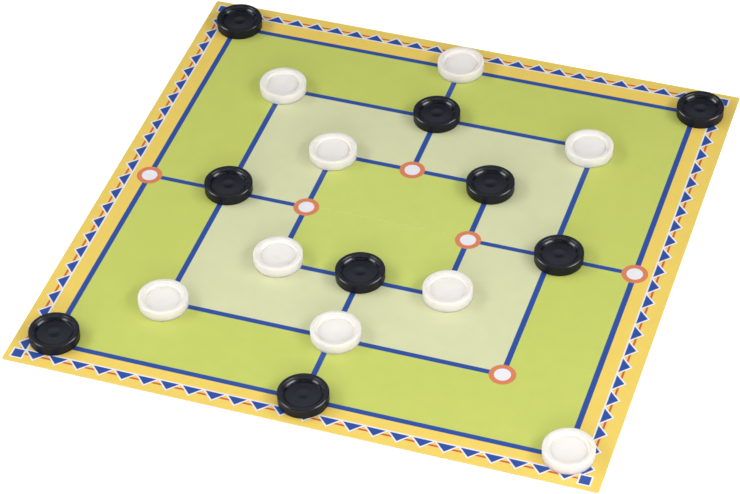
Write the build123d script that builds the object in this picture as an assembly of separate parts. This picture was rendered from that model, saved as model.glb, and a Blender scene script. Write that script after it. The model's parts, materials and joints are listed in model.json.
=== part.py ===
from build123d import *
import os

# Nine men's morris: a folding card board with nine white and nine black men on it.
# Millimetres, +Z up. The origin is on the underside of the board, at the middle of its crease.
# X runs along the crease, and -Y is the near edge.

# The board: one sheet of card, creased across its middle into two leaves
BOARD_WIDTH = 300.0
BOARD_DEPTH = 298.0
CARD_THICKNESS = 0.5
CORNER_RADIUS = 1.2
CREASE_WIDTH = 0.5       # of the groove that the creasing rule pressed into the printed face
CREASE_DEPTH = 0.12

# The three squares printed on it are one, two and three steps from their common centre
GRID_STEP = 43.5
GRID_CENTRE = (-0.6, -1.4)
COLUMNS = "abcdefg"      # left to right
ROWS = "1234567"         # near to far

# A man: one moulding, a disc with a raised rim round a shallow dish
MAN_DIAMETER = 25.2
MAN_HEIGHT = 5.8
RIM_WIDTH = 2.8          # from the outer wall to the wall of the dish
DISH_DEPTH = 2.2         # from the rim down to the floor

# Where each man stands: its point, and how far it was set down from it, right and away
WHITE_MEN = {
    "d7": (0.0, 0.4),
    "b6": (0.2, -0.8),
    "f6": (-2.2, -3.5),
    "c5": (0.2, -1.0),
    "c3": (0.0, 0.8),
    "e3": (2.1, 1.7),
    "b2": (-0.5, -1.9),
    "d2": (1.8, 1.4),
    "g1": (0.7, 1.8),
}
BLACK_MEN = {
    "a7": (1.3, 2.1),
    "g7": (2.6, 0.7),
    "d6": (-0.1, 0.2),
    "e5": (-0.2, -2.6),
    "b4": (0.4, 1.2),
    "f4": (4.4, -0.6),
    "d3": (-0.2, 1.7),
    "a1": (0.5, 3.7),
    "d1": (0.9, -0.5),
}


def leaf(side):
    """Half of the card, from the crease to the near edge (side -1) or to the far edge (side 1)."""
    half_depth = BOARD_DEPTH / 2
    with BuildPart() as half:
        with BuildSketch():
            with Locations((0, side * half_depth / 2)):
                Rectangle(BOARD_WIDTH, half_depth)
            outer_corners = vertices().sort_by(Axis.Y)[:2] if side < 0 else vertices().sort_by(Axis.Y)[-2:]
            fillet(outer_corners, CORNER_RADIUS)
        extrude(amount=CARD_THICKNESS)
        # each leaf carries half of the groove along the crease
        printed_face = faces().sort_by(Axis.Z)[-1]
        crease_edge = printed_face.edges().sort_by(Axis.Y)[-1 if side < 0 else 0]
        chamfer(crease_edge, length=CREASE_DEPTH, length2=CREASE_WIDTH / 2)
    return half.part


def man_section():
    """Half of a man's section, from its axis out: foot, outer wall, rim, dish wall and floor."""
    outside = MAN_DIAMETER / 2
    dish_radius = outside - RIM_WIDTH
    return Polyline(
        (0, 0),
        (outside, 0),
        (outside, MAN_HEIGHT),
        (dish_radius, MAN_HEIGHT),
        (dish_radius, MAN_HEIGHT - DISH_DEPTH),
        (0, MAN_HEIGHT - DISH_DEPTH),
        close=True,
    )


def man():
    """One man, standing at the origin: its section turned about its own axis."""
    with BuildPart() as moulding:
        with BuildSketch(Plane.XZ):
            with BuildLine():
                man_section()
            make_face()
        revolve(axis=Axis.Z)
    return moulding.part


def place_on(point, nudge):
    """The spot where a man stands, from the name of its point and how far off it was set down."""
    across = COLUMNS.index(point[0]) - COLUMNS.index("d")
    away = ROWS.index(point[1]) - ROWS.index("4")
    x = GRID_CENTRE[0] + across * GRID_STEP + nudge[0]
    y = GRID_CENTRE[1] + away * GRID_STEP + nudge[1]
    return Location((x, y, CARD_THICKNESS))


def write(shape, name):
    shape.label = name
    export_step(shape, f"parts/{name}.step")


os.makedirs("parts", exist_ok=True)
write(leaf(-1), "front_leaf")
write(leaf(1), "rear_leaf")
moulding = man()
for colour, men in (("white", WHITE_MEN), ("black", BLACK_MEN)):
    for point, nudge in men.items():
        write(place_on(point, nudge) * moulding, f"{colour}_man_{point}")
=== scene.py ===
# %% [markdown]
# # Nine men's morris on a folding card board
#
# The object is a square of thin printed card, creased once across its middle so that it folds, with nine
# ivory men and nine black ones standing on it. The card carries a printed pattern and has almost no
# thickness, so nearly all of its look is in its material. The men are the other way round: one plain colour
# each, and all of their look is in their turned shape and in how it catches the light.
#
# Every length on the object is in millimetres and is multiplied by `MM` where Blender needs metres. The floor
# and the lamps are in metres.

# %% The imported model
import json
import math
import bpy
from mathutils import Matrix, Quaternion, Vector

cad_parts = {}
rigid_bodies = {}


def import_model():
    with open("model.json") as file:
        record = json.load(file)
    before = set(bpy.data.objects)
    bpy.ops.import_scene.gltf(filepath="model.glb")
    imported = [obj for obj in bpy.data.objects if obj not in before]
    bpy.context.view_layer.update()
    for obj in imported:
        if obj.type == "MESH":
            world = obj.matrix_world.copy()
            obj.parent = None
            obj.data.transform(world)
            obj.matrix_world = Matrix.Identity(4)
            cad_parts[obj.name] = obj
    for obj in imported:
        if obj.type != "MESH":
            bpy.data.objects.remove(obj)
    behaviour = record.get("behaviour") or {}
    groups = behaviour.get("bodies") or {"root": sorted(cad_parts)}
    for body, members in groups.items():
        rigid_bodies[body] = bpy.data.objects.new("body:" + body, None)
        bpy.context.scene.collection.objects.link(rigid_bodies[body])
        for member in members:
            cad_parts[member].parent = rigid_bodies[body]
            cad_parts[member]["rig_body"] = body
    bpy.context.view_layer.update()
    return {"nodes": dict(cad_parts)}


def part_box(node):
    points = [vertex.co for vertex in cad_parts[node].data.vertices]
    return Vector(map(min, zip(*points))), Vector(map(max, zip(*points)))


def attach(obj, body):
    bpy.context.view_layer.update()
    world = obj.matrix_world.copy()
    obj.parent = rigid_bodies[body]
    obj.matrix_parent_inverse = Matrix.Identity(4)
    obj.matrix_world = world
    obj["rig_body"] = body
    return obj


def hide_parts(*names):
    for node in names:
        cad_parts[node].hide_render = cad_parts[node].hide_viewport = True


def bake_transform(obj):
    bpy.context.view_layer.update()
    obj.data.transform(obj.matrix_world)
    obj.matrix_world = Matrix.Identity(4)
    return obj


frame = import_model()
MM = 0.001

# %% [markdown]
# ## Camera
#
# A long lens from well back keeps the squares on the card nearly parallel. The camera is placed by the point
# it looks at, the direction it looks from and its distance, and is then rolled a little about its own axis.
# `to_track_quat` turns the line of sight into a rotation, with the camera's own -Z along the line and its Y
# as near upright as it goes.

# %% Camera
LENS = 130.55
SENSOR_WIDTH = 36
CLIP_START = 0.05          # metres
AIM = Vector((-3.1, -20.8, 0.5))
AZIMUTH = math.radians(19.53)      # round from the near edge, towards the right
ELEVATION = math.radians(42.63)
ROLL = math.radians(-1.83)
DISTANCE = 1360.4

towards = Vector((
    math.sin(AZIMUTH) * math.cos(ELEVATION),
    -math.cos(AZIMUTH) * math.cos(ELEVATION),
    math.sin(ELEVATION),
))
camera = bpy.data.objects.new("camera", bpy.data.cameras.new("camera"))
bpy.context.scene.collection.objects.link(camera)
camera.data.lens = LENS
camera.data.sensor_width = SENSOR_WIDTH
camera.data.clip_start = CLIP_START
camera.location = (AIM + towards * DISTANCE) * MM
camera.rotation_mode = "QUATERNION"
camera.rotation_quaternion = (-towards).to_track_quat("-Z", "Y") @ Quaternion((0, 0, 1), ROLL)
bpy.context.scene.camera = camera
print("the camera is", round(camera.location.z, 3), "m above the floor")

# %% [markdown]
# ## Colours and nodes
#
# A listed colour is an sRGB value, and shaders work with linear light, so one function turns the one
# into the other. A second function adds a node to a material, sets it up and fills its inputs. It takes
# numbers, sockets or whole nodes, so that a chain of nodes reads like a sum.

# %% Colours and nodes
def ink(sheet_value):
    """The linear colour of an sRGB value written as #RRGGBB."""
    channels = [int(sheet_value[i:i + 2], 16) / 255 for i in (1, 3, 5)]
    linear = [c / 12.92 if c <= 0.04045 else ((c + 0.055) / 1.055) ** 2.4 for c in channels]
    return (*linear, 1.0)


def add(tree, kind, *inputs, sockets=None, **settings):
    """Adds a node to a tree. inputs fill its sockets in order, and sockets fills them by name."""
    node = tree.nodes.new("ShaderNode" + kind)
    for name, value in settings.items():
        setattr(node, name, value)
    wanted = list(zip([s for s in node.inputs if s.enabled], inputs))
    wanted += [(node.inputs[name], value) for name, value in (sockets or {}).items()]
    for socket, value in wanted:
        if isinstance(value, bpy.types.Node):
            value = next(s for s in value.outputs if s.enabled)
        if isinstance(value, bpy.types.NodeSocket):
            tree.links.new(value, socket)
        else:
            socket.default_value = value
    return node


def new_material(name):
    """An empty material, its node tree and nothing in it."""
    material = bpy.data.materials.new(name)
    material.use_nodes = True
    material.node_tree.nodes.clear()
    return material


def noise(tree, place, size, detail, seed=None):
    """A noise texture with spots of about this size. detail adds finer ones, and a seed gives other ones."""
    if seed is None:
        return add(tree, "TexNoise", place, 1 / size, detail)
    return add(tree, "TexNoise", place, seed, 1 / size, detail, noise_dimensions="4D")


def seen_directly(tree):
    """1 for rays from the camera, in reflections and through glass, and 0 for light that falls on things."""
    rays = add(tree, "LightPath").outputs
    seen = add(tree, "Math", rays["Is Camera Ray"], rays["Is Glossy Ray"], operation="MAXIMUM")
    return add(tree, "Math", seen, rays["Is Transmission Ray"], operation="MAXIMUM")


print("mid grey is", round(ink("#808080")[0], 3), "in linear light")

# %% [markdown]
# ## Studio
#
# The set stands on plain white paper, under the light of four softboxes. Two long ones are at the left and
# the right. They give each man a faint soft shadow on both sides and draw two bright crescents in each black
# dish. A third long one lies low in front, so that it lights the near walls of the men about three times as
# strongly as the flat card. The fourth hangs overhead.
#
# The paper is a diffuse surface, so it takes the object's shadow. A part of its brightness is added as light
# that only the camera and reflections see, which carries it to full white without lighting the object. The
# lamps reach less of the paper further out, so that part grows with the distance.

# %% Floor
FLOOR_HALF = 12.0          # metres, so that its edge is past every view
PAPER_GLOW = 0.42          # with the lamps' light on the paper, this comes to full white
GLOW_NEAR, GLOW_FAR = 0.3, 1.2     # metres from the middle; beyond the second the paper glows white by itself

floor_mesh = bpy.data.meshes.new("floor")
corners = [(x * FLOOR_HALF, y * FLOOR_HALF, 0) for x, y in ((-1, -1), (1, -1), (1, 1), (-1, 1))]
floor_mesh.from_pydata(corners, [], [(0, 1, 2, 3)])
floor = bpy.data.objects.new("floor", floor_mesh)
bpy.context.scene.collection.objects.link(floor)

paper = new_material("white_paper_backdrop")
tree = paper.node_tree
seen = seen_directly(tree)
away = add(tree, "VectorMath", add(tree, "TexCoord").outputs["Object"], operation="LENGTH").outputs["Value"]
glow = add(tree, "MapRange", away, GLOW_NEAR, GLOW_FAR, PAPER_GLOW, 1.0)
glow = add(tree, "Math", seen, glow, operation="MULTIPLY")
lit = add(tree, "BsdfDiffuse", ink("#E8E8E8"))
added = add(tree, "AddShader", lit, add(tree, "Emission", ink("#FFFFFF"), glow))
add(tree, "OutputMaterial", added)
floor_mesh.materials.append(paper)
print("the floor is", 2 * FLOOR_HALF, "m wide")

# %% [markdown]
# The room round it is nearly dark, which is what makes black plastic look black. It has two lights of its
# own. At the horizon the paper runs up the wall and is white, and the part of the ceiling behind the set
# grows lighter towards the top. A man's flat black rim mirrors that part, low down for the men at the far
# side and higher up for the near ones, so the near ones look a little lighter.
#
# A direction's Z is the sine of its height above the horizon and its Y says how far it points to the rear, so
# Map Range nodes on those two are enough.

# %% Room
ROOM_DIM = 0.06            # the room's strength, where 1 is white
WHITE_BELOW = 0.02         # the sine of the height up to which the room is white
DIM_ABOVE = 0.12
CEILING = 0.50
CEILING_FROM, CEILING_TO = 0.50, 0.80      # sines again
BEHIND_HALF = 0.25         # the Y over which the front turns into the rear, to each side of 0

world = bpy.data.worlds.new("room")
bpy.context.scene.world = world
world.use_nodes = True
tree = world.node_tree
tree.nodes.clear()
seen = seen_directly(tree)
direction = add(tree, "SeparateXYZ", add(tree, "TexCoord").outputs["Generated"])
rise = add(tree, "MapRange", direction.outputs["Z"], CEILING_FROM, CEILING_TO, 0, CEILING,
           interpolation_type="SMOOTHSTEP")
behind = add(tree, "MapRange", direction.outputs["Y"], -BEHIND_HALF, BEHIND_HALF, 0, 1,
             interpolation_type="SMOOTHSTEP")
ceiling = add(tree, "Math", rise, behind, ROOM_DIM, operation="MULTIPLY_ADD")
horizon = add(tree, "MapRange", direction.outputs["Z"], WHITE_BELOW, DIM_ABOVE, 1, 0)
horizon = add(tree, "Math", horizon, seen, operation="MULTIPLY")
level = add(tree, "Math", ceiling, horizon, operation="MAXIMUM")
shade = add(tree, "Mix", behind, ink("#FFFFFF"), ink("#EDF3FF"), data_type="RGBA")
add(tree, "OutputWorld", add(tree, "Background", shade, level))
print("the room is", ROOM_DIM, "and its ceiling", ROOM_DIM + CEILING)


# %% Softboxes
def softbox(name, at, facing, size, watts, spread):
    """A rectangular area lamp at a place, turned to face a point, with its spread in degrees."""
    lamp = bpy.data.lights.new(name, "AREA")
    lamp.shape = "RECTANGLE"
    lamp.size, lamp.size_y = size
    lamp.energy = watts
    lamp.spread = math.radians(spread)
    holder = bpy.data.objects.new(name, lamp)
    holder.location = at
    holder.rotation_mode = "QUATERNION"
    holder.rotation_quaternion = (Vector(facing) - Vector(at)).to_track_quat("-Z", "Y")
    bpy.context.scene.collection.objects.link(holder)
    print(name, "has a radiance of", round(watts / math.pi / size[0] / size[1], 2))


softbox("softbox_overhead", at=(0.25, -0.35, 1.50), facing=(0.45, -0.90, 0),
        size=(2.4, 1.5), watts=6.8, spread=100)
softbox("softbox_left", at=(-0.93, -0.45, 0.73), facing=(0, -0.30, 0),
        size=(1.7, 0.35), watts=3.8, spread=110)
softbox("softbox_right", at=(0.97, -0.27, 0.73), facing=(0, -0.30, 0),
        size=(1.6, 0.35), watts=3.8, spread=110)
softbox("softbox_low", at=(0.30, -1.22, 0.38), facing=(0, -0.16, 0),
        size=(3.2, 0.3), watts=7.4, spread=120)

# %% [markdown]
# ## The card
#
# The board is one sheet of half-millimetre card. On the real one a creasing rule has pressed a narrow groove
# across the printed side, and the card bends there. It is built as a row of points across the card, repeated
# from the near edge to the far edge: far apart where the card stays flat, close together at the crease, where
# it has to bend smoothly, and following the small radius of the die-cut corners at both ends.
#
# Each point also keeps where it lies on the flat sheet, in a UV map. The print is worked out from that map
# and not from the point's place in space, so it stays where it was printed when the card is folded.

# %% The shape of the card
leaf_boxes = [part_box("front_leaf"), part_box("rear_leaf")]
WIDTH = (leaf_boxes[0][1].x - leaf_boxes[0][0].x) / MM
DEPTH = (leaf_boxes[1][1].y - leaf_boxes[0][0].y) / MM
THICKNESS = leaf_boxes[0][1].z / MM
CORNER_RADIUS = 1.2
CUT_EDGE_ROUNDING = 0.06   # a die-cut edge is crushed a little where the blade goes in
CREASE_HALF = 0.25         # of the groove's width
CREASE_DEPTH = 0.12
BEND_HALF = 0.6            # the card bends over this much on each side of the crease
ACROSS = 26                # faces across the card
EDGE_STRIP = 0.5           # the outermost ones are this narrow, which keeps the cut edge's shading in them
CORNER_STEPS = 6           # rows of faces along a rounded corner
FLAT_STEPS = 12            # and from the crease to the edge of the card
BEND_STEPS = 12            # and over half of the bend


def rows_of_card():
    """How far from the near edge each row of points is, as y, and half the card's width there."""
    corner = [math.radians(90 * i / CORNER_STEPS) for i in range(CORNER_STEPS + 1)]
    end = [(DEPTH / 2 - CORNER_RADIUS * (1 - math.sin(a)), WIDTH / 2 - CORNER_RADIUS * (1 - math.cos(a)))
           for a in corner]
    flat = [(DEPTH / 2 * i / FLAT_STEPS, WIDTH / 2) for i in range(1, FLAT_STEPS)]
    bend = [(BEND_HALF * i / BEND_STEPS, WIDTH / 2) for i in range(1, BEND_STEPS + 1)]
    far_half = bend + flat + end
    near_half = [(-y, half) for y, half in reversed(far_half)]
    return near_half + [(0, WIDTH / 2)] + far_half


def places_across(half):
    """Where the points of one row lie, as x, for a row that is this far wide to each side."""
    inner = half - EDGE_STRIP
    steps = ACROSS - 2
    return [-half] + [(2 * i / steps - 1) * inner for i in range(steps + 1)] + [half]


def groove(y):
    """How deep the crease is pressed into the printed side at y."""
    if abs(y) >= CREASE_HALF:
        return 0
    return CREASE_DEPTH * (0.5 + 0.5 * math.cos(math.pi * y / CREASE_HALF))


rows = rows_of_card()
print("the card is", round(WIDTH, 1), "x", round(DEPTH, 1), "x", round(THICKNESS, 2), "mm")
print("it has", len(rows), "rows of points")


# %% [markdown]
# The rows become a closed sheet: a printed top, a rim where the blade crushed the cut edge a little, a thin
# side wall and a plain underside. `from_pydata` takes the points and the faces that join them by number. The
# two flat grids have their points in the same order, so one loop makes both, and the walls join the points
# that run round their outsides.

# %% The card's mesh
def grid_points(inset, height):
    """The points of one side of the card, row by row, drawn in from its outline by inset."""
    points = []
    for y, half in rows:
        y_in = y * (DEPTH / 2 - inset) / (DEPTH / 2)
        z = height - groove(y) if height > 0 else 0
        points += [(x, y_in, z) for x in places_across(half - inset)]
    return points


row_length = ACROSS + 1
last_row = (len(rows) - 1) * row_length
rim = list(range(row_length))
rim += [r * row_length + ACROSS for r in range(1, len(rows))]
rim += [last_row + i for i in reversed(range(ACROSS))]
rim += [r * row_length for r in reversed(range(1, len(rows) - 1))]
per_side = len(rows) * row_length

top = grid_points(CUT_EDGE_ROUNDING, THICKNESS)
under = grid_points(0, 0)
crushed = [(under[i][0], under[i][1], top[i][2] - CUT_EDGE_ROUNDING) for i in rim]
card_points = top + under + crushed
top_faces = []
under_faces = []
for r in range(len(rows) - 1):
    for i in range(ACROSS):
        a = r * row_length + i
        quad = (a, a + 1, a + 1 + row_length, a + row_length)
        top_faces.append(quad)
        under_faces.append(tuple(per_side + corner for corner in reversed(quad)))
crushed_faces = []
wall_faces = []
ring = 2 * per_side
for i, here in enumerate(rim):
    after = (i + 1) % len(rim)
    crushed_faces.append((here, ring + i, ring + after, rim[after]))
    wall_faces.append((ring + i, per_side + here, per_side + rim[after], ring + after))

card_mesh = bpy.data.meshes.new("card_board")
card_faces = top_faces + crushed_faces + wall_faces + under_faces
card_mesh.from_pydata([Vector(p) * MM for p in card_points], [], card_faces)
card_mesh.validate()
for face in card_mesh.polygons:
    face.use_smooth = face.index < len(top_faces) or face.index >= len(card_faces) - len(under_faces)
    face.material_index = 0 if face.index < len(top_faces) + len(crushed_faces) else 1
print("the card has", len(card_mesh.vertices), "points and", len(card_mesh.polygons), "faces")

# %% [markdown]
# Two maps go with it. `flat` says where each point lies on the sheet, from 0 to 1 each way. `OFBake` is the
# layout for anyone who bakes the print to an image: the printed side has nearly the whole of it, and the
# plain underside and the thin edge get the strip that is left.

# %% The card's maps
PRINT_FROM = 0.12          # the share of the baked image's height that is left to the plain faces
UNDER_FROM, UNDER_TO = 0.04, 0.11
WALL_AT, WALL_HIGH = 0.01, 0.02

flat = card_mesh.uv_layers.new(name="flat")
baked = card_mesh.uv_layers.new(name="OFBake")
wall_first = len(top_faces) + len(crushed_faces)
under_first = wall_first + len(wall_faces)
for face in card_mesh.polygons:
    for corner, loop in enumerate(face.loop_indices):
        x, y, _ = card_mesh.vertices[card_mesh.loops[loop].vertex_index].co / MM
        u, v = x / WIDTH + 0.5, y / DEPTH + 0.5
        flat.data[loop].uv = (u, v)
        if face.index < wall_first:
            baked.data[loop].uv = (u, PRINT_FROM + (1 - PRINT_FROM) * v)
        elif face.index < under_first:
            along = (face.index - wall_first + (1 if corner in (2, 3) else 0)) / len(wall_faces)
            baked.data[loop].uv = (along, WALL_AT + (WALL_HIGH if corner in (0, 3) else 0))
        else:
            baked.data[loop].uv = (u, UNDER_FROM + (UNDER_TO - UNDER_FROM) * v)
card_mesh.uv_layers["OFBake"].active_render = True
board = bpy.data.objects.new("card_board", card_mesh)
bpy.context.scene.collection.objects.link(board)
print("maps:", [layer.name for layer in card_mesh.uv_layers])

# %% [markdown]
# ## The print
#
# The card is printed in flat inks by offset litho and sealed with a satin varnish. The pattern is drawn by
# arithmetic on the flat position. Most of it repeats eight times round the centre, so the sheet is first
# folded in thought: with x and y made positive, the greater of the two says which square a spot is on, and
# the lesser how far along its side. Each ink's edge is a short ramp and not a step, because wet ink
# creeps a little into the paper.

# %% Position on the sheet, in millimetres
INK_CREEP = 0.09           # how far an ink's edge spreads to each side
GREEN = ink("#C0C961")
GREEN_INSIDE = ink("#C3CD69")
PALE_GREEN = ink("#D1D3A6")
YELLOW = ink("#E8C95E")
BLUE = ink("#1F4797")
ORANGE = ink("#D37C52")
RED = ink("#CB5138")
BARE_WHITE = ink("#E4E2E6")


def edge(at):
    """The two ends of the ramp that an ink's edge makes, for a Map Range."""
    return at - INK_CREEP, at + INK_CREEP


offset_print = new_material("offset_litho_on_card")
tree = offset_print.node_tree
on_sheet = add(tree, "UVMap", uv_map="flat")
millimetres = (WIDTH, DEPTH, 0)
middle = (-WIDTH / 2, -DEPTH / 2, 0)
position = add(tree, "VectorMath", on_sheet, millimetres, middle, operation="MULTIPLY_ADD")


def folded_about(centre):
    """How far a spot is from a centre, as X and Y that are both positive."""
    from_centre = add(tree, "VectorMath", position, centre, operation="SUBTRACT")
    return add(tree, "SeparateXYZ", add(tree, "VectorMath", from_centre, operation="ABSOLUTE"))


print("an ink's edge is", 2 * INK_CREEP, "mm wide")

# %% [markdown]
# ### Fields and lines
#
# The three squares are one, two and three steps from their centre, so the distance to the nearest line is
# the distance to the nearest whole number of steps. Ping-pong gives it: it climbs from 0 to half a step and
# falls back to 0 at the next line.

# %% Fields
STEP = 43.5                # from one square to the next
LINE = 2.87
GRID_CENTRE = (-0.6, -1.4, 0)

folded = folded_about(GRID_CENTRE)
out = add(tree, "Math", folded.outputs["X"], folded.outputs["Y"], operation="MAXIMUM")
along = add(tree, "Math", folded.outputs["X"], folded.outputs["Y"], operation="MINIMUM")
colour = YELLOW
for steps, field in ((3, GREEN), (2, PALE_GREEN), (1, GREEN_INSIDE)):
    inside = add(tree, "MapRange", out, *edge(steps * STEP), 1, 0)
    colour = add(tree, "Mix", inside, colour, field, data_type="RGBA")
print("the squares are", [2 * steps * STEP for steps in (1, 2, 3)], "mm wide")

# %% Lines
from_line = add(tree, "Math", out, STEP / 2, operation="PINGPONG")
past_middle = add(tree, "Math", out, STEP / 2, operation="GREATER_THAN")
square_line = add(tree, "MapRange", from_line, *edge(LINE / 2), 1, 0)
square_line = add(tree, "Math", square_line, past_middle, operation="MULTIPLY")
cross_line = add(tree, "MapRange", along, *edge(LINE / 2), 1, 0)
for start, end, at in ((0, 1, STEP), (1, 0, 3 * STEP)):
    gate = add(tree, "MapRange", out, *edge(at), start, end)
    cross_line = add(tree, "Math", cross_line, gate, operation="MULTIPLY")
lines = add(tree, "Math", square_line, cross_line, operation="MAXIMUM")
colour = add(tree, "Mix", lines, colour, BLUE, data_type="RGBA")
print("the lines are", LINE, "mm wide")

# %% [markdown]
# ### Points
#
# The 24 points are at the corners and mid-sides of the squares. Out from the centre, the nearest one is at
# the nearest whole step. Along the side it is either at the middle, at 0, or at the corner, as far along as
# the square is out. The distance to it draws the orange disc and the bare white spot inside that.

# %% Points
POINT_RADIUS = 6.7
SPOT_RADIUS = 4.1

half_on = add(tree, "Math", out, STEP / 2, operation="ADD")
square = add(tree, "Math", half_on, STEP, operation="SNAP")
miss_out = add(tree, "Math", out, square, operation="SUBTRACT")
miss_corner = add(tree, "Math", along, square, operation="SUBTRACT")
miss_corner = add(tree, "Math", miss_corner, operation="ABSOLUTE")
miss_along = add(tree, "Math", along, miss_corner, operation="MINIMUM")
miss = add(tree, "CombineXYZ", miss_out, miss_along, 0.0)
from_point = add(tree, "VectorMath", miss, operation="LENGTH").outputs["Value"]
for radius, disc in ((POINT_RADIUS, ORANGE), (SPOT_RADIUS, BARE_WHITE)):
    inside = add(tree, "MapRange", from_point, *edge(radius), 1, 0)
    inside = add(tree, "Math", inside, past_middle, operation="MULTIPLY")
    colour = add(tree, "Mix", inside, colour, disc, data_type="RGBA")
print("the points are", 2 * POINT_RADIUS, "mm across")

# %% [markdown]
# ### Border
#
# Round the squares runs a row of small blue triangles with a white outline, their points outward, on a thin
# red line, with a small square in each corner. It is worked out in the same way from its own centre, because
# the sheet was cut a little off, and its rows are centred a little differently again. A spot's depth inside a
# blue triangle is the lesser of its distances from the base and from the slanting side. The white outline
# reaches outward from there, so that neighbours run together at their feet.

# %% Border
BORDER_CENTRE = (-0.9, -0.1, 0)
ROW_CENTRE = (-1.3, -1.9, 0)
PITCH = 11.63              # from one triangle to the next
PER_SIDE = 24
TRIANGLE_AT = 140.05       # how far out the blue bases are
TRIANGLE_HALF = 4.85       # of a blue base
TRIANGLE_HEIGHT = 4.8
OUTLINE = 0.8
RED_LINE_AT = 142.6
RED_LINE = 1.1
CORNER_AT = 142.9
CORNER_HALF = 2.6

folded = folded_about(BORDER_CENTRE)
border_out = add(tree, "Math", folded.outputs["X"], folded.outputs["Y"], operation="MAXIMUM")
border_in = add(tree, "Math", folded.outputs["X"], folded.outputs["Y"], operation="MINIMUM")
left_or_right = add(tree, "Math", folded.outputs["X"], folded.outputs["Y"], operation="GREATER_THAN")
folded = folded_about(ROW_CENTRE)
in_row = add(tree, "Mix", left_or_right, folded.outputs["X"], folded.outputs["Y"], data_type="FLOAT")

from_red = add(tree, "Math", border_out, RED_LINE_AT, operation="SUBTRACT")
from_red = add(tree, "Math", from_red, operation="ABSOLUTE")
red_line = add(tree, "MapRange", from_red, *edge(RED_LINE / 2), 1, 0)
colour = add(tree, "Mix", red_line, colour, RED, data_type="RGBA")

slope = math.hypot(TRIANGLE_HALF, TRIANGLE_HEIGHT)
above_base = add(tree, "Math", border_out, TRIANGLE_AT, operation="SUBTRACT")
from_gap = add(tree, "Math", in_row, PITCH / 2, operation="PINGPONG")
from_foot = add(tree, "Math", from_gap, PITCH / 2 - TRIANGLE_HALF, operation="SUBTRACT")
lean = add(tree, "Math", above_base, TRIANGLE_HALF / slope, operation="MULTIPLY")
from_side = add(tree, "Math", from_foot, TRIANGLE_HEIGHT / slope, operation="MULTIPLY")
from_side = add(tree, "Math", from_side, lean, operation="SUBTRACT")
deep = add(tree, "Math", from_side, above_base, operation="MINIMUM")
row_end = add(tree, "Math", in_row, PITCH * PER_SIDE / 2 + OUTLINE, operation="LESS_THAN")
for depth, field in ((-OUTLINE, BARE_WHITE), (0, BLUE)):
    inside = add(tree, "MapRange", deep, *edge(depth), 0, 1)
    inside = add(tree, "Math", inside, row_end, operation="MULTIPLY")
    colour = add(tree, "Mix", inside, colour, field, data_type="RGBA")
print("the border has", 4 * PER_SIDE, "triangles")

# %% Corner squares
misses = []
for way in (border_out, border_in):
    from_corner = add(tree, "Math", way, CORNER_AT, operation="SUBTRACT")
    misses.append(add(tree, "Math", from_corner, operation="ABSOLUTE"))
from_corner = add(tree, "Math", *misses, operation="MAXIMUM")
for half, field in ((CORNER_HALF + OUTLINE, BARE_WHITE), (CORNER_HALF, BLUE)):
    inside = add(tree, "MapRange", from_corner, *edge(half), 1, 0)
    colour = add(tree, "Mix", inside, colour, field, data_type="RGBA")
print("the corner squares are", 2 * CORNER_HALF, "mm wide")

# %% [markdown]
# ### Paper, ink and varnish
#
# Up close, an ink film lies unevenly over the fibres: cloudy over some millimetres, grainy over a few tenths.
# Folding has cracked the ink along the crease, so bare fibre shows there in short bright specks. The varnish
# has a satin gloss that is a little uneven too, and the fibres stand out under it very slightly.
#
# Nearly all of a noise texture's values lie between 0.3 and 0.7, so Map Range nodes start from those two.

# %% Surface of the print
CLOUD_SIZE = 9.0           # the ink film's cloudiness
FIBRE_SIZE = 0.45          # the fibres are finer; drawn this coarse so that they show
CLOUD_AMOUNT = 0.015
FIBRE_AMOUNT = 0.02
FIBRE_RELIEF = 0.03
CRACK_HALF = 0.13
CRACK_PATCH = 1.6          # the length of a stretch that is cracked or whole
CRACKED_FROM, CRACKED_TO = 0.54, 0.62      # of the noise that says where
NOISE_LOW, NOISE_HIGH = 0.3, 0.7
GLOSSIEST, DULLEST = 0.40, 0.48            # roughness of the varnish

clouds = noise(tree, position, CLOUD_SIZE, detail=2)
fibres = noise(tree, position, FIBRE_SIZE, detail=2)
cloudy = add(tree, "MapRange", clouds, NOISE_LOW, NOISE_HIGH, 1 - CLOUD_AMOUNT, 1 + CLOUD_AMOUNT)
grainy = add(tree, "MapRange", fibres, NOISE_LOW, NOISE_HIGH, 1 - FIBRE_AMOUNT, 1 + FIBRE_AMOUNT)
uneven = add(tree, "Math", cloudy, grainy, operation="MULTIPLY")
uneven = add(tree, "CombineXYZ", uneven, uneven, uneven)
colour = add(tree, "VectorMath", colour, uneven, operation="MULTIPLY")

sheet_y = add(tree, "SeparateXYZ", position).outputs["Y"]
from_crease = add(tree, "Math", sheet_y, operation="ABSOLUTE")
wander = noise(tree, position, CRACK_PATCH, detail=3)
patchy = add(tree, "MapRange", wander, CRACKED_FROM, CRACKED_TO, 0, 1)
crack = add(tree, "MapRange", from_crease, CRACK_HALF / 2, CRACK_HALF, 1, 0)
crack = add(tree, "Math", crack, patchy, operation="MULTIPLY")
colour = add(tree, "Mix", crack, colour, ink("#E4E0D6"), data_type="RGBA")

satin = add(tree, "MapRange", clouds, NOISE_LOW, NOISE_HIGH, GLOSSIEST, DULLEST)
relief = add(tree, "Bump", sockets={"Height": fibres, "Strength": 0.25, "Distance": FIBRE_RELIEF * MM})
varnished = add(tree, "BsdfPrincipled", colour, sockets={"Roughness": satin, "IOR": 1.5, "Normal": relief})
add(tree, "OutputMaterial", varnished)
print("the print has", len(tree.nodes), "nodes")

# %% [markdown]
# ### Bare board
#
# The cut edge and the back are bare white-lined board, pressed from pulp. It is matt and faintly mottled,
# with a grey fleck here and there where a fibre was not bleached.

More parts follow.
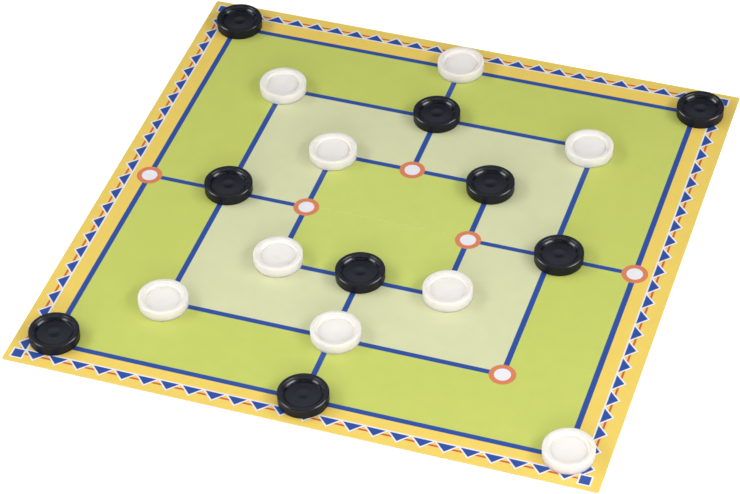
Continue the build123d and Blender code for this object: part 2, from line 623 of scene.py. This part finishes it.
# %% Bare board
MOTTLE_SIZE = 3.0
MOTTLE_RELIEF = 0.05
FLECK_SIZE = 0.7
FLECK_FROM, FLECK_TO = 0.72, 0.78          # of the noise that says where
FLECK_STRENGTH = 0.5

bare_board = new_material("white_lined_board")
tree = bare_board.node_tree
place = add(tree, "VectorMath", add(tree, "UVMap", uv_map="flat"), millimetres, operation="MULTIPLY")
mottle = noise(tree, place, MOTTLE_SIZE, detail=4)
tone = add(tree, "Mix", mottle, ink("#D9D5CB"), ink("#E6E3DB"), data_type="RGBA")
fleck = noise(tree, place, FLECK_SIZE, detail=1)
fleck = add(tree, "MapRange", fleck, FLECK_FROM, FLECK_TO, 0, FLECK_STRENGTH)
tone = add(tree, "Mix", fleck, tone, ink("#8F8B84"), data_type="RGBA")
nap = add(tree, "Bump", sockets={"Height": mottle, "Strength": 0.3, "Distance": MOTTLE_RELIEF * MM})
pulp = add(tree, "BsdfPrincipled", tone, sockets={"Roughness": 0.85, "IOR": 1.45, "Normal": nap})
add(tree, "OutputMaterial", pulp)

card_mesh.materials.append(offset_print)
card_mesh.materials.append(bare_board)
print("the card wears", [m.name for m in card_mesh.materials])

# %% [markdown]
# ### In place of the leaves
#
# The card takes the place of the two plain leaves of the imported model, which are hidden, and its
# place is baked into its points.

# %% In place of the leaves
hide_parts("front_leaf", "rear_leaf")
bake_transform(board)
print("the card bends over", 2 * BEND_HALF, "mm")

# %% [markdown]
# ## The men
#
# A man is one injection moulding in polystyrene: a thick disc with a raised rim round a shallow dish. The
# dish goes down in stages: a fine chamfer inside the rim, a short upright step, a narrow flat, a slope and a
# last upright step. The chamfer and the slope catch the side lights as two thin crescents, and the last step
# stays dark and draws a ring round the floor. The floor swells a little and has a wide dimple in the middle.
# Every edge is soft, because a mould's edges are. Such a piece is round about one axis, so it is built as a
# potter would turn it: one outline from the middle of the foot to the middle of the dish, carried round the
# axis.
#
# The outline is a list of corners, each with how far its rounding reaches. The rounding is drawn as the
# smooth curve that leaves one side at that distance and joins the other at the same distance.

# %% The outline of a man
MAN_RADIUS = 12.6
MAN_HEIGHT = 5.8
BEVEL = 0.37
DISH_FLOOR = MAN_HEIGHT - 2.2
OUTLINE_CORNERS = (        # radius, height, reach of the rounding
    (12.5, 0.0, 0.30),
    (MAN_RADIUS, MAN_HEIGHT - BEVEL, 0.08),
    (MAN_RADIUS - 1.1 * BEVEL, MAN_HEIGHT, 0.08),
    (10.50, MAN_HEIGHT, 0.06),
    (10.27, MAN_HEIGHT - 0.23, 0.05),
    (10.22, MAN_HEIGHT - 0.62, 0.05),
    (9.62, MAN_HEIGHT - 0.68, 0.08),
    (8.90, DISH_FLOOR + 0.82, 0.06),
    (8.82, DISH_FLOOR, 0.06),
    (3.50, DISH_FLOOR + 0.25, 0.35),
    (2.50, DISH_FLOOR + 0.20, 0.18),
    (1.80, DISH_FLOOR + 0.15, 0.12),
    (0.90, DISH_FLOOR + 0.08, 0.12),
)
ROUNDING_STEPS = 4
FLAT_KEEPER = 0.05         # a point this far past each rounding keeps the flat beside it flat


def outline_of_man():
    """The points of the outline, from the middle of the foot to the middle of the dish."""
    corners = [Vector((radius, height)) for radius, height, _ in OUTLINE_CORNERS]
    starts = [Vector((0, 0))] + corners[:-1]
    ends = corners[1:] + [Vector((0, corners[-1].y))]
    points = [Vector((0, 0))]
    for start, corner, end, (_, _, reach) in zip(starts, corners, ends, OUTLINE_CORNERS):
        before = corner + (start - corner).normalized() * reach
        after = corner + (end - corner).normalized() * reach
        points.append(before + (start - corner).normalized() * FLAT_KEEPER)
        for i in range(ROUNDING_STEPS + 1):
            t = i / ROUNDING_STEPS
            points.append(before * (1 - t) ** 2 + corner * 2 * t * (1 - t) + after * t ** 2)
        points.append(after + (end - corner).normalized() * FLAT_KEEPER)
    points.append(Vector((0, corners[-1].y)))
    return points


outline = outline_of_man()
print("the outline has", len(outline), "points")

# %% Turning it round the axis
SEGMENTS = 80
WALL_FROM = 12.3           # faces further out than this, and below the bevel, are the outer wall


def turned_man(name):
    """A man's mesh, standing on the origin."""
    rings = outline[1:-1]
    foot_middle, dish_middle = 0, 1
    points = [(0, 0, 0), (0, 0, outline[-1].y * MM)]
    first = len(points)
    last = first + (len(rings) - 1) * SEGMENTS
    for ring in rings:
        for s in range(SEGMENTS):
            turn = 2 * math.pi * s / SEGMENTS
            points.append((ring.x * math.cos(turn) * MM, ring.x * math.sin(turn) * MM, ring.y * MM))
    faces = []
    for s in range(SEGMENTS):
        after = (s + 1) % SEGMENTS
        faces.append((foot_middle, first + after, first + s))
        for low in range(first, last, SEGMENTS):
            high = low + SEGMENTS
            faces.append((low + s, low + after, high + after, high + s))
        faces.append((last + s, last + after, dish_middle))
    mesh = bpy.data.meshes.new(name)
    mesh.from_pydata(points, [], faces)
    mesh.validate()
    mesh.shade_smooth()
    for face in mesh.polygons:
        middle = face.center / MM
        face.material_index = 1 if middle.xy.length > WALL_FROM and middle.z < MAN_HEIGHT - BEVEL else 0
    return mesh


print("a man has", SEGMENTS * len(outline[1:]), "faces")

# %% [markdown]
# ### Polystyrene
#
# High-impact polystyrene comes out of the mould with a soft gloss. The ivory one lets light in below its
# surface, which softens its shadows. The black one shows mostly reflections: its rim mirrors the dim room.
# Both have the fine marks that such pieces get: rings from turning the mould, and small
# scratches from sliding on the board, which show as streaks in the gloss. The outer wall has no polish: there
# the mould was left with the dull grain that the spark gives it. The top of the rim is drawn a little darker
# than the rest, which is painted shade. The ivory wall is drawn a little darker and less green than the rest
# of the man, which is painted shade that offsets the green light the card throws on it.

# %% Polystyrene
RING_PITCH = 0.35          # the tool's rings in the mould; finer on the real one
SCRATCH_SIZE = 0.25
GRAIN_SIZE = 0.22          # of the spark-eroded wall; a few hundredths on the real one
RIM_SHADE_FROM = 4.9         # painted shade: the rim's colour is drawn darker from this height up
RIM_SHADE_TONE = (0.9, 0.9, 0.9, 1)
SEED_SPAN = 40.0           # keeps the noise of one man far from the next one's
FLOW_SIZE = 7              # of the places where the plastic's tone differs a little
STRETCH = (1.0, 0.06, 0.5)                 # makes long scratches out of round spots
SCRATCH_FROM, SCRATCH_TO = 0.45, 0.75      # of the noise that says where
SCRATCH_DULL = 0.08        # what a scratch adds to the roughness
RING_DEPTH = 0.012
SCRATCH_DEPTH = 0.02
GRAIN_DEPTH = 0.03
WAVE_UNITS = 20            # a wave texture repeats every 2 pi / 20 of its unit
SOFT_DEPTH = 6             # how far light goes below the surface of the ivory plastic
SOFT_BY_COLOUR = (1.0, 0.9, 0.75)          # the share of it that red, green and blue light reach


def moulded_polystyrene(name, light, dark, roughness, shine, depth, wear, grain):
    """Moulded polystyrene between two close tones. depth is the share of light that enters it."""
    material = new_material(name)
    tree = material.node_tree
    own = add(tree, "ObjectInfo").outputs["Random"]
    seed = add(tree, "Math", own, SEED_SPAN, operation="MULTIPLY")
    turn = add(tree, "Math", own, 2 * math.pi, operation="MULTIPLY")
    place = add(tree, "TexCoord").outputs["Object"]
    place = add(tree, "VectorRotate", place, sockets={"Angle": turn}, rotation_type="Z_AXIS")
    flow = noise(tree, place, FLOW_SIZE * MM, detail=2, seed=seed)
    mould_tone = add(tree, "Mix", flow, light, dark, data_type="RGBA")
    height = add(tree, "SeparateXYZ", place).outputs["Z"]
    # painted shade: the colour is darkened towards the top of the rim
    rim_shade = add(tree, "MapRange", height, RIM_SHADE_FROM * MM, MAN_HEIGHT * MM, 0, 1)
    tone = add(tree, "Mix", rim_shade, mould_tone, RIM_SHADE_TONE, data_type="RGBA", blend_type="MULTIPLY")
    stretched = add(tree, "VectorMath", place, STRETCH, operation="MULTIPLY")
    scratches = noise(tree, stretched, SCRATCH_SIZE * MM, detail=2, seed=seed)
    streaks = add(tree, "MapRange", scratches, SCRATCH_FROM, SCRATCH_TO, roughness, roughness + SCRATCH_DULL)
    rings = add(tree, "TexWave", place, 2 * math.pi / (WAVE_UNITS * RING_PITCH * MM), 0.0,
                wave_type="RINGS", rings_direction="Z")
    fine = add(tree, "Bump", sockets={"Height": rings, "Strength": wear, "Distance": RING_DEPTH * MM})
    worn = add(tree, "Bump", sockets={
        "Height": scratches,
        "Strength": wear,
        "Distance": SCRATCH_DEPTH * MM,
        "Normal": fine,
    })
    pits = noise(tree, place, GRAIN_SIZE * MM, detail=2, seed=seed)
    grained = add(tree, "Bump", sockets={
        "Height": pits,
        "Strength": grain,
        "Distance": GRAIN_DEPTH * MM,
        "Normal": worn,
    })
    plastic = add(tree, "BsdfPrincipled", tone, sockets={
        "Roughness": streaks,
        "IOR": 1.59,
        "Specular IOR Level": shine,
        "Normal": grained,
        "Subsurface Weight": depth,
        "Subsurface Radius": SOFT_BY_COLOUR,
        "Subsurface Scale": SOFT_DEPTH * MM,
    })
    add(tree, "OutputMaterial", plastic)
    return material


ivory = ink("#F0EAE4"), ink("#EDE6DF")
# painted shade: the outer wall's ivory is a little darker and less green than the rest of the man, offsetting
# the green light that the card throws on the wall
ivory_wall_painted_shade = ink("#ECE5E4"), ink("#E9E1DF")
black = ink("#10131C"), ink("#0F121B")
plastics = {
    "white": (
        moulded_polystyrene("ivory_polystyrene", *ivory,
                            roughness=0.42, shine=0.4, depth=1.0, wear=0.05, grain=0.0),
        moulded_polystyrene("ivory_polystyrene_grained_painted_shade", *ivory_wall_painted_shade,
                            roughness=0.55, shine=0.4, depth=1.0, wear=0.0, grain=0.1),
    ),
    "black": (
        moulded_polystyrene("black_polystyrene", *black,
                            roughness=0.14, shine=0.5, depth=0.0, wear=0.2, grain=0.0),
        moulded_polystyrene("black_polystyrene_grained", *black,
                            roughness=0.45, shine=0.18, depth=0.0, wear=0.0, grain=0.2),
    ),
}
print("plastics:", [finish.name for pair in plastics.values() for finish in pair])

# %% [markdown]
# ### Setting them out
#
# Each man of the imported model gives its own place, so each dressed man goes to the middle of that one's
# foot and replaces it.

# %% Setting out the men
men = sorted(node for node in frame["nodes"] if "_man_" in node)
for node in men:
    body = frame["nodes"][node]["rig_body"]
    low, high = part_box(node)
    colour_name = node.split("_")[0]
    mesh = turned_man(f"turned_{node}")
    for finish in plastics[colour_name]:
        mesh.materials.append(finish)
    man = bpy.data.objects.new(f"turned_{node}", mesh)
    man.location = ((low.x + high.x) / 2, (low.y + high.y) / 2, low.z)
    bpy.context.scene.collection.objects.link(man)
    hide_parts(node)
    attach(man, body)
print("men set out:", len(men))

# %% [markdown]
# ## Finish
#
# The colours are shown as they are, with the Standard view transform. The dressed model has to stay as
# large as the imported one.

# %% Finish
bpy.context.scene.view_settings.view_transform = "Standard"
